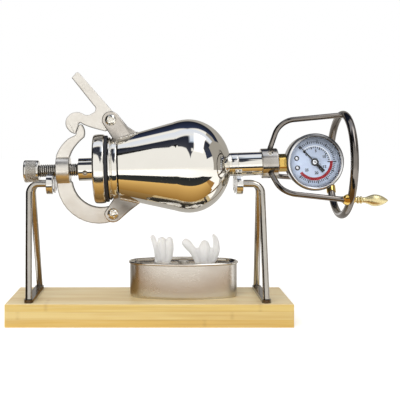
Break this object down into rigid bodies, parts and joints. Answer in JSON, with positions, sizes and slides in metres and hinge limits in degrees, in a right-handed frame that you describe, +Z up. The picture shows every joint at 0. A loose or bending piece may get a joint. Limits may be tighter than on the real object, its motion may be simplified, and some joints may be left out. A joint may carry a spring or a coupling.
{
  "type": "stovetop popcorn popper",
  "caption": "Hand-cranked pressure popcorn popper: steel bottle on roller stands over a spirit burner, with a latched lid, screw clamp, hand wheel and gauge.",
  "frame": {"origin": "centre of the board's underside, the face that it rests on", "axes": "+Z up; +X along the board towards the hand wheel; the gauge faces -Y"},
  "size_m": [0.3453, 0.1022, 0.2322],
  "materials": {
    "bamboo": "sanded, clear oiled bamboo",
    "stand_steel": "polished steel rod",
    "bearing_steel": "ground bearing steel",
    "polished_steel": "mirror polished",
    "wheel_steel": "polished",
    "cast_steel": "satin",
    "screw_steel": "bright zinc",
    "brass": "polished",
    "gauge_chrome": "chromed",
    "lens_glass": "clear",
    "dial_white": "matt white with printed scale",
    "pointer_black": "matt black",
    "gasket_rubber": "moulded",
    "tin_plate": "satin tin plate",
    "cotton": "loose cotton"
  },
  "bodies": {
    "base": {"base_board": "bamboo", "stand_screws": "screw_steel", "foot_strips": "stand_steel", "left_front_leg": "stand_steel", "left_back_leg": "stand_steel", "right_front_leg": "stand_steel", "right_back_leg": "stand_steel", "bearing_inner_rings": "bearing_steel", "bearing_balls": "bearing_steel"},
    "left_front_roller": {"left_front_roller": "bearing_steel"},
    "left_back_roller": {"left_back_roller": "bearing_steel"},
    "right_front_roller": {"right_front_roller": "bearing_steel"},
    "right_back_roller": {"right_back_roller": "bearing_steel"},
    "neck_carrier": {"neck_ring": "polished_steel"},
    "rotor": {"pressure_bottle": "polished_steel", "mouth_flange": "polished_steel", "neck_tube": "polished_steel", "hub_collar": "wheel_steel", "hub_set_screws": "screw_steel", "upper_spoke": "wheel_steel", "front_spoke": "wheel_steel", "back_spoke": "wheel_steel", "wheel_ring": "wheel_steel", "ring_ferrule": "brass", "handle_eyelet": "brass", "handle_neck": "brass", "handle_pin": "screw_steel", "lever_ears": "cast_steel", "yoke_ears": "cast_steel", "pivot_screws": "screw_steel", "pivot_nuts": "screw_steel", "gauge_adapter": "brass", "gauge_socket": "brass", "gauge_case": "gauge_chrome", "gauge_bezel": "gauge_chrome", "gauge_lens": "lens_glass", "gauge_dial": "dial_white", "dial_screws": "screw_steel", "gauge_movement": "brass", "gauge_tube": "brass"},
    "grip": {"handle_grip": "brass"},
    "lever": {"release_lever": "cast_steel"},
    "yoke": {"yoke_boss": "cast_steel", "yoke_upper_arm": "cast_steel", "yoke_lower_arm": "cast_steel"},
    "lid": {"lid_plate": "polished_steel", "lid_gasket": "gasket_rubber", "lid_socket": "polished_steel", "lid_grub_screw": "screw_steel"},
    "screw": {"clamp_screw": "screw_steel", "screw_knob": "screw_steel"},
    "pointer": {"gauge_pointer": "pointer_black"},
    "sector": {"gauge_sector": "brass"},
    "burner": {"burner_tin": "tin_plate", "burner_top": "tin_plate", "wick_holders": "tin_plate", "filler_cap": "tin_plate", "left_wick": "cotton", "right_wick": "cotton", "fuel_wadding": "cotton"}
  },
  "joints": [
    {"name": "rotor_lift", "type": "slide", "parent": "base", "child": "neck_carrier", "axis": [0, 0, 1], "range_m": [0, 0.15]},
    {"name": "rotor_spin", "type": "hinge", "parent": "neck_carrier", "child": "rotor", "pos_m": [0, 0, 0.1424], "axis": [0.9994, 0, 0.0337], "continuous": true},
    {"name": "left_front_roller_spin", "type": "hinge", "parent": "base", "child": "left_front_roller", "pos_m": [-0.093, -0.0098, 0.127], "axis": [1, 0, 0], "continuous": true},
    {"name": "left_back_roller_spin", "type": "hinge", "parent": "base", "child": "left_back_roller", "pos_m": [-0.093, 0.0098, 0.127], "axis": [1, 0, 0], "continuous": true},
    {"name": "right_front_roller_spin", "type": "hinge", "parent": "base", "child": "right_front_roller", "pos_m": [0.084, -0.0098, 0.127], "axis": [1, 0, 0], "continuous": true},
    {"name": "right_back_roller_spin", "type": "hinge", "parent": "base", "child": "right_back_roller", "pos_m": [0.084, 0.0098, 0.127], "axis": [1, 0, 0], "continuous": true},
    {"name": "lever_turn", "type": "hinge", "parent": "rotor", "child": "lever", "pos_m": [-0.03653, 0, 0.1871], "axis": [0, 1, 0], "range_deg": [0, 120]},
    {"name": "yoke_swing", "type": "hinge", "parent": "rotor", "child": "yoke", "pos_m": [-0.03415, 0, 0.09893], "axis": [0, -1, 0], "range_deg": [0, 36]},
    {"name": "lid_travel", "type": "slide", "parent": "yoke", "child": "lid", "axis": [0.9994, 0, 0.0337], "range_m": [-0.002, 0]},
    {"name": "screw_turn", "type": "hinge", "parent": "lid", "child": "screw", "pos_m": [-0.08995, 0, 0.13937], "axis": [0.9994, 0, 0.0337], "range_deg": [-360, 0]},
    {"name": "pointer_turn", "type": "hinge", "parent": "rotor", "child": "pointer", "pos_m": [0.15451, 0, 0.14761], "axis": [0, 1, 0], "range_deg": [0, 270]},
    {"name": "sector_turn", "type": "hinge", "parent": "rotor", "child": "sector", "pos_m": [0.15487, 0, 0.13702], "axis": [0, 1, 0], "range_deg": [-45, 0]},
    {"name": "grip_spin", "type": "hinge", "parent": "rotor", "child": "grip", "pos_m": [0.20424, -0.03639, 0.11393], "axis": [0.9998, 0, -0.0221], "continuous": true},
    {"name": "burner_slide", "type": "slide", "parent": "base", "child": "burner", "axis": [0, -1, 0], "range_m": [0, 0.09]}
  ],
  "couplings": [
    {"joint": "left_front_roller_spin", "follows": "rotor_spin", "ratio": -0.63158},
    {"joint": "left_back_roller_spin", "follows": "rotor_spin", "ratio": -0.63158},
    {"joint": "right_front_roller_spin", "follows": "rotor_spin", "ratio": -1.1579},
    {"joint": "right_back_roller_spin", "follows": "rotor_spin", "ratio": -1.1579},
    {"joint": "lever_turn", "follows": "rotor_lift", "rad_per_m": 13.963},
    {"joint": "yoke_swing", "follows": "rotor_lift", "rad_per_m": 4.1888},
    {"joint": "lid_travel", "follows": "screw_turn", "m_per_rad": 0.00031831},
    {"joint": "sector_turn", "follows": "pointer_turn", "ratio": -0.16667}
  ]
}
